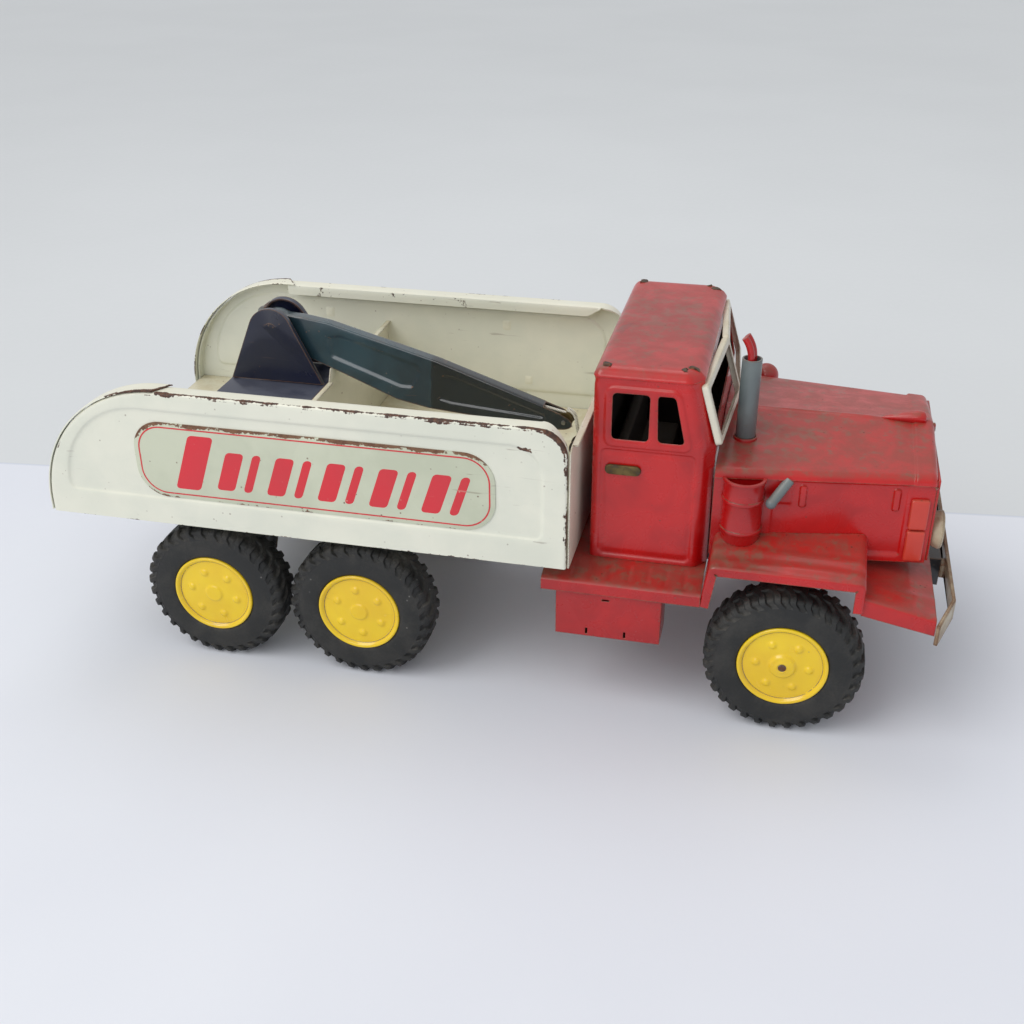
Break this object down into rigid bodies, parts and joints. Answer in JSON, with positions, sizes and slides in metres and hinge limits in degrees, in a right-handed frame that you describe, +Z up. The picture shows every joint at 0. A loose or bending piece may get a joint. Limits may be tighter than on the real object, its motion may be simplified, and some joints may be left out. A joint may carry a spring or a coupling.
{
  "type": "toy service truck",
  "caption": "Pressed-tin toy service truck: open bed with rounded side panels and a stowed crane, cab with split windshield, long hood, and turning wheels on tandem rear axles.",
  "frame": {"origin": "on the ground under the middle of the truck", "axes": "+X towards the nose, +Y to the left side of the truck, +Z up"},
  "size_m": [0.4086, 0.161, 0.1658],
  "materials": {
    "cream_paint": "satin cream paint with rust at the edges",
    "label_paint": "satin grey-green paint",
    "red_paint": "glossy red paint",
    "navy_paint": "satin navy paint",
    "boom_paint": "glossy dark teal paint",
    "yellow_paint": "glossy yellow paint",
    "black_paint": "satin black paint",
    "grey_paint": "satin grey paint",
    "bare_steel": "dull steel",
    "aged_brass": "tarnished",
    "dull_plate": "worn cream paint on rusty plate",
    "tyre_rubber": "matte rubber",
    "cord": "twisted cotton",
    "dark_fittings": "matte dark paint"
  },
  "bodies": {
    "truck": {"front_axle_bracket": "black_paint", "bogie_bracket": "black_paint", "chassis_frame": "black_paint", "bed_floor": "cream_paint", "side_panel_right": "cream_paint", "side_panel_left": "cream_paint", "edge_strip_right": "cream_paint", "edge_strip_left": "cream_paint", "label_plate_right": "label_paint", "label_plate_left": "label_paint", "bulkhead": "cream_paint", "cross_wall": "cream_paint", "tower_base": "navy_paint", "tower_cheek_right": "navy_paint", "tower_cheek_left": "navy_paint", "cab_shell": "red_paint", "windshield_frame": "cream_paint", "seat": "dark_fittings", "steering_wheel": "dark_fittings", "door_handle_right": "aged_brass", "door_handle_left": "aged_brass", "hood": "red_paint", "grille": "red_paint", "headlamp_right": "dull_plate", "headlamp_left": "dull_plate", "fender_pan": "red_paint", "bumper": "dull_plate", "half_drum": "red_paint", "duct_pipe": "grey_paint", "exhaust_stack": "grey_paint", "exhaust_tips": "red_paint", "air_cleaner": "red_paint", "toolbox_right": "red_paint", "toolbox_left": "red_paint"},
    "wheelset_front": {"tyre_front_right": "tyre_rubber", "tyre_front_left": "tyre_rubber", "wheel_front_right": "yellow_paint", "wheel_front_left": "yellow_paint", "axle_front": "bare_steel"},
    "wheelset_middle": {"tyre_middle_right": "tyre_rubber", "tyre_middle_left": "tyre_rubber", "wheel_middle_right": "yellow_paint", "wheel_middle_left": "yellow_paint", "axle_middle": "bare_steel"},
    "wheelset_rear": {"tyre_rear_right": "tyre_rubber", "tyre_rear_left": "tyre_rubber", "wheel_rear_right": "yellow_paint", "wheel_rear_left": "yellow_paint", "axle_rear": "bare_steel"},
    "boom": {"boom": "boom_paint", "sheave_pin": "bare_steel", "hoist_cord": "cord"},
    "winch": {"winch_drum": "bare_steel", "winch_crank": "bare_steel"},
    "sheave": {"tip_sheave": "aged_brass"},
    "hook": {"cord_falls": "cord", "hook_block": "black_paint", "hook": "bare_steel"}
  },
  "joints": [
    {"name": "front_axle_spin", "type": "hinge", "parent": "truck", "child": "wheelset_front", "pos_m": [0.1355, 0, 0.0345], "axis": [0, 1, 0], "continuous": true},
    {"name": "middle_axle_spin", "type": "hinge", "parent": "truck", "child": "wheelset_middle", "pos_m": [-0.057, 0, 0.0345], "axis": [0, 1, 0], "continuous": true},
    {"name": "rear_axle_spin", "type": "hinge", "parent": "truck", "child": "wheelset_rear", "pos_m": [-0.1295, 0, 0.0345], "axis": [0, 1, 0], "continuous": true},
    {"name": "boom_luff", "type": "hinge", "parent": "truck", "child": "boom", "pos_m": [-0.1173, 0, 0.143], "axis": [0, -1, 0], "range_deg": [0, 75]},
    {"name": "winch_turn", "type": "hinge", "parent": "truck", "child": "winch", "pos_m": [-0.1173, 0, 0.143], "axis": [0, 1, 0], "continuous": true},
    {"name": "sheave_turn", "type": "hinge", "parent": "boom", "child": "sheave", "pos_m": [0.02418, 0, 0.10694], "axis": [0, 1, 0], "continuous": true},
    {"name": "hook_swing", "type": "hinge", "parent": "boom", "child": "hook", "pos_m": [0.02418, 0, 0.10694], "axis": [0, -1, 0], "range_deg": [-78, 4]}
  ],
  "couplings": [
    {"joint": "hook_swing", "follows": "boom_luff", "ratio": -1}
  ]
}
